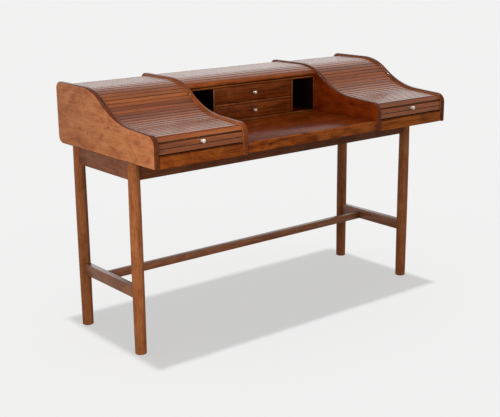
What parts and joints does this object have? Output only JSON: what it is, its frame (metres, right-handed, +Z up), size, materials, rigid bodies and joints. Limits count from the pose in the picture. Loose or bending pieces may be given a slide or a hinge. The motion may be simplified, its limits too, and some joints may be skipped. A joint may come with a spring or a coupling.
{
  "type": "tambour writing desk",
  "caption": "Writing desk with a low S-shaped case, a slatted tambour compartment at each end, small drawers and pigeonholes at the back, and turned legs with an H stretcher.",
  "frame": {"origin": "on the floor under the middle of the case", "axes": "+X to the right of someone facing the front, +Y to the back, +Z up"},
  "size_m": [1.45, 0.6705, 0.954],
  "materials": {
    "side_wood": "oiled",
    "board_wood": "oiled",
    "slat_wood": "oiled",
    "drawer_wood": "oiled",
    "pigeonhole_wood": "oiled",
    "leg_wood": "oiled",
    "plain_wood": "plain",
    "brass": "polished"
  },
  "bodies": {
    "case": {"left_outer_side": "side_wood", "left_inner_side": "side_wood", "right_inner_side": "side_wood", "right_outer_side": "side_wood", "centre_front_rail": "board_wood", "left_bay_floor": "board_wood", "right_bay_floor": "board_wood", "bay_front_rails": "board_wood", "dust_boards": "plain_wood", "bay_inner_backs": "plain_wood", "writing_surface": "board_wood", "back_panel": "plain_wood", "roof_board": "plain_wood", "roof_slats": "slat_wood", "roof_lip": "board_wood", "pigeonhole_top": "pigeonhole_wood", "pigeonhole_floor": "pigeonhole_wood", "pigeonhole_uprights": "pigeonhole_wood", "drawer_shelf": "pigeonhole_wood", "front_left_leg": "leg_wood", "front_right_leg": "leg_wood", "back_left_leg": "leg_wood", "back_right_leg": "leg_wood", "front_apron": "leg_wood", "back_apron": "leg_wood", "side_aprons": "leg_wood", "side_stretchers": "leg_wood", "long_stretcher": "leg_wood"},
    "upper_drawer": {"upper_drawer_front": "drawer_wood", "upper_drawer_box": "plain_wood", "upper_drawer_knob": "brass"},
    "lower_drawer": {"lower_drawer_front": "drawer_wood", "lower_drawer_box": "plain_wood", "lower_drawer_knob": "brass"},
    "left_tambour_lead": {"left_lead_slats": "slat_wood", "left_tambour_knob": "brass"},
    "left_tambour_nose_lower": {"left_nose_slat_lower": "slat_wood"},
    "left_tambour_nose_upper": {"left_nose_slat_upper": "slat_wood"},
    "left_tambour_shelf": {"left_shelf_slats": "slat_wood"},
    "left_tambour_hollow_front": {"left_hollow_slats_front": "slat_wood"},
    "left_tambour_hollow_middle": {"left_hollow_slats_middle": "slat_wood"},
    "left_tambour_hollow_back": {"left_hollow_slats_back": "slat_wood"},
    "left_tambour_ramp": {"left_ramp_slats": "slat_wood"},
    "left_tambour_crown_front": {"left_crown_slats_front": "slat_wood"},
    "left_tambour_crown_back": {"left_crown_slats_back": "slat_wood"},
    "left_tambour_flat": {"left_flat_slats": "slat_wood"},
    "left_tambour_tail": {"left_tail_slats": "slat_wood"},
    "right_tambour_lead": {"right_lead_slats": "slat_wood", "right_tambour_knob": "brass"},
    "right_tambour_nose_lower": {"right_nose_slat_lower": "slat_wood"},
    "right_tambour_nose_upper": {"right_nose_slat_upper": "slat_wood"},
    "right_tambour_shelf": {"right_shelf_slats": "slat_wood"},
    "right_tambour_hollow_front": {"right_hollow_slats_front": "slat_wood"},
    "right_tambour_hollow_middle": {"right_hollow_slats_middle": "slat_wood"},
    "right_tambour_hollow_back": {"right_hollow_slats_back": "slat_wood"},
    "right_tambour_ramp": {"right_ramp_slats": "slat_wood"},
    "right_tambour_crown_front": {"right_crown_slats_front": "slat_wood"},
    "right_tambour_crown_back": {"right_crown_slats_back": "slat_wood"},
    "right_tambour_flat": {"right_flat_slats": "slat_wood"},
    "right_tambour_tail": {"right_tail_slats": "slat_wood"}
  },
  "joints": [
    {"name": "upper_drawer_slide", "type": "slide", "parent": "case", "child": "upper_drawer", "axis": [0, -1, 0], "range_m": [0, 0.18]},
    {"name": "lower_drawer_slide", "type": "slide", "parent": "case", "child": "lower_drawer", "axis": [0, -1, 0], "range_m": [0, 0.18]},
    {"name": "left_tambour", "type": "hinge", "parent": "case", "child": "left_tambour_lead", "pos_m": [-0.5255, -0.02787, 0.56286], "axis": [-1, 0, 0], "range_deg": [0, 64.33], "deforming": ["left_lead_slats", "left_nose_slat_lower", "left_nose_slat_upper", "left_shelf_slats", "left_hollow_slats_front", "left_hollow_slats_middle", "left_hollow_slats_back", "left_ramp_slats", "left_crown_slats_front", "left_crown_slats_back", "left_flat_slats", "left_tail_slats"]},
    {"name": "left_tambour_nose_lower_bend", "type": "hinge", "parent": "case", "child": "left_tambour_nose_lower", "pos_m": [-0.5255, 0.11089, 0.11282], "axis": [-1, 0, 0], "range_deg": [0, 28.45]},
    {"name": "left_tambour_nose_upper_bend", "type": "hinge", "parent": "case", "child": "left_tambour_nose_upper", "pos_m": [-0.5255, -0.83278, 3.36278], "axis": [1, 0, 0], "range_deg": [0, 8.87]},
    {"name": "left_tambour_shelf_bend", "type": "hinge", "parent": "case", "child": "left_tambour_shelf", "pos_m": [-0.5255, 2.72843, -8.41691], "axis": [-1, 0, 0], "range_deg": [0, 2.37]},
    {"name": "left_tambour_hollow_front_bend", "type": "hinge", "parent": "case", "child": "left_tambour_hollow_front", "pos_m": [-0.5255, 0.6871, -1.39291], "axis": [-1, 0, 0], "range_deg": [0, 9.66]},
    {"name": "left_tambour_hollow_middle_bend", "type": "hinge", "parent": "case", "child": "left_tambour_hollow_middle", "pos_m": [-0.5255, 0.18891, 0.49195], "axis": [-1, 0, 0], "range_deg": [0, 51.84]},
    {"name": "left_tambour_hollow_back_bend", "type": "hinge", "parent": "case", "child": "left_tambour_hollow_back", "pos_m": [-0.5255, 0.1415, 0.7418], "axis": [-1, 0, 0], "range_deg": [0, 106.62]},
    {"name": "left_tambour_ramp_bend", "type": "hinge", "parent": "case", "child": "left_tambour_ramp", "pos_m": [-0.5255, 0.1395, 0.77739], "axis": [-1, 0, 0], "range_deg": [0, 122.95]},
    {"name": "left_tambour_crown_front_bend", "type": "hinge", "parent": "case", "child": "left_tambour_crown_front", "pos_m": [-0.5255, 0.16865, 0.82454], "axis": [-1, 0, 0], "range_deg": [0, 161.31]},
    {"name": "left_tambour_crown_back_bend", "type": "hinge", "parent": "case", "child": "left_tambour_crown_back", "pos_m": [-0.5255, 0.1899, 0.84636], "axis": [-1, 0, 0], "range_deg": [0, 187.22]},
    {"name": "left_tambour_flat_bend", "type": "hinge", "parent": "case", "child": "left_tambour_flat", "pos_m": [-0.5255, 0.18379, 0.84275], "axis": [-1, 0, 0], "range_deg": [0, 180]},
    {"name": "left_tambour_tail_bend", "type": "hinge", "parent": "case", "child": "left_tambour_tail", "pos_m": [-0.5255, 0.16483, 0.85978], "axis": [-1, 0, 0], "range_deg": [0, 158.09]},
    {"name": "right_tambour", "type": "hinge", "parent": "case", "child": "right_tambour_lead", "pos_m": [0.5255, -0.02787, 0.56286], "axis": [-1, 0, 0], "range_deg": [0, 64.33], "deforming": ["right_lead_slats", "right_nose_slat_lower", "right_nose_slat_upper", "right_shelf_slats", "right_hollow_slats_front", "right_hollow_slats_middle", "right_hollow_slats_back", "right_ramp_slats", "right_crown_slats_front", "right_crown_slats_back", "right_flat_slats", "right_tail_slats"]},
    {"name": "right_tambour_nose_lower_bend", "type": "hinge", "parent": "case", "child": "right_tambour_nose_lower", "pos_m": [0.5255, 0.11089, 0.11282], "axis": [-1, 0, 0], "range_deg": [0, 28.45]},
    {"name": "right_tambour_nose_upper_bend", "type": "hinge", "parent": "case", "child": "right_tambour_nose_upper", "pos_m": [0.5255, -0.83278, 3.36278], "axis": [1, 0, 0], "range_deg": [0, 8.87]},
    {"name": "right_tambour_shelf_bend", "type": "hinge", "parent": "case", "child": "right_tambour_shelf", "pos_m": [0.5255, 2.72843, -8.41691], "axis": [-1, 0, 0], "range_deg": [0, 2.37]},
    {"name": "right_tambour_hollow_front_bend", "type": "hinge", "parent": "case", "child": "right_tambour_hollow_front", "pos_m": [0.5255, 0.6871, -1.39291], "axis": [-1, 0, 0], "range_deg": [0, 9.66]},
    {"name": "right_tambour_hollow_middle_bend", "type": "hinge", "parent": "case", "child": "right_tambour_hollow_middle", "pos_m": [0.5255, 0.18891, 0.49195], "axis": [-1, 0, 0], "range_deg": [0, 51.84]},
    {"name": "right_tambour_hollow_back_bend", "type": "hinge", "parent": "case", "child": "right_tambour_hollow_back", "pos_m": [0.5255, 0.1415, 0.7418], "axis": [-1, 0, 0], "range_deg": [0, 106.62]},
    {"name": "right_tambour_ramp_bend", "type": "hinge", "parent": "case", "child": "right_tambour_ramp", "pos_m": [0.5255, 0.1395, 0.77739], "axis": [-1, 0, 0], "range_deg": [0, 122.95]},
    {"name": "right_tambour_crown_front_bend", "type": "hinge", "parent": "case", "child": "right_tambour_crown_front", "pos_m": [0.5255, 0.16865, 0.82454], "axis": [-1, 0, 0], "range_deg": [0, 161.31]},
    {"name": "right_tambour_crown_back_bend", "type": "hinge", "parent": "case", "child": "right_tambour_crown_back", "pos_m": [0.5255, 0.1899, 0.84636], "axis": [-1, 0, 0], "range_deg": [0, 187.22]},
    {"name": "right_tambour_flat_bend", "type": "hinge", "parent": "case", "child": "right_tambour_flat", "pos_m": [0.5255, 0.18379, 0.84275], "axis": [-1, 0, 0], "range_deg": [0, 180]},
    {"name": "right_tambour_tail_bend", "type": "hinge", "parent": "case", "child": "right_tambour_tail", "pos_m": [0.5255, 0.16483, 0.85978], "axis": [-1, 0, 0], "range_deg": [0, 158.09]}
  ],
  "couplings": [
    {"joint": "left_tambour_nose_lower_bend", "follows": "left_tambour", "ratio": 0.44217},
    {"joint": "left_tambour_nose_upper_bend", "follows": "left_tambour", "ratio": 0.13781},
    {"joint": "left_tambour_shelf_bend", "follows": "left_tambour", "ratio": 0.036854},
    {"joint": "left_tambour_hollow_front_bend", "follows": "left_tambour", "ratio": 0.15012},
    {"joint": "left_tambour_hollow_middle_bend", "follows": "left_tambour", "ratio": 0.80577},
    {"joint": "left_tambour_hollow_back_bend", "follows": "left_tambour", "ratio": 1.6574},
    {"joint": "left_tambour_ramp_bend", "follows": "left_tambour", "ratio": 1.9112},
    {"joint": "left_tambour_crown_front_bend", "follows": "left_tambour", "ratio": 2.5076},
    {"joint": "left_tambour_crown_back_bend", "follows": "left_tambour", "ratio": 2.9103},
    {"joint": "left_tambour_flat_bend", "follows": "left_tambour", "ratio": 2.7982},
    {"joint": "left_tambour_tail_bend", "follows": "left_tambour", "ratio": 2.4575},
    {"joint": "right_tambour_nose_lower_bend", "follows": "right_tambour", "ratio": 0.44217},
    {"joint": "right_tambour_nose_upper_bend", "follows": "right_tambour", "ratio": 0.13781},
    {"joint": "right_tambour_shelf_bend", "follows": "right_tambour", "ratio": 0.036854},
    {"joint": "right_tambour_hollow_front_bend", "follows": "right_tambour", "ratio": 0.15012},
    {"joint": "right_tambour_hollow_middle_bend", "follows": "right_tambour", "ratio": 0.80577},
    {"joint": "right_tambour_hollow_back_bend", "follows": "right_tambour", "ratio": 1.6574},
    {"joint": "right_tambour_ramp_bend", "follows": "right_tambour", "ratio": 1.9112},
    {"joint": "right_tambour_crown_front_bend", "follows": "right_tambour", "ratio": 2.5076},
    {"joint": "right_tambour_crown_back_bend", "follows": "right_tambour", "ratio": 2.9103},
    {"joint": "right_tambour_flat_bend", "follows": "right_tambour", "ratio": 2.7982},
    {"joint": "right_tambour_tail_bend", "follows": "right_tambour", "ratio": 2.4575}
  ]
}
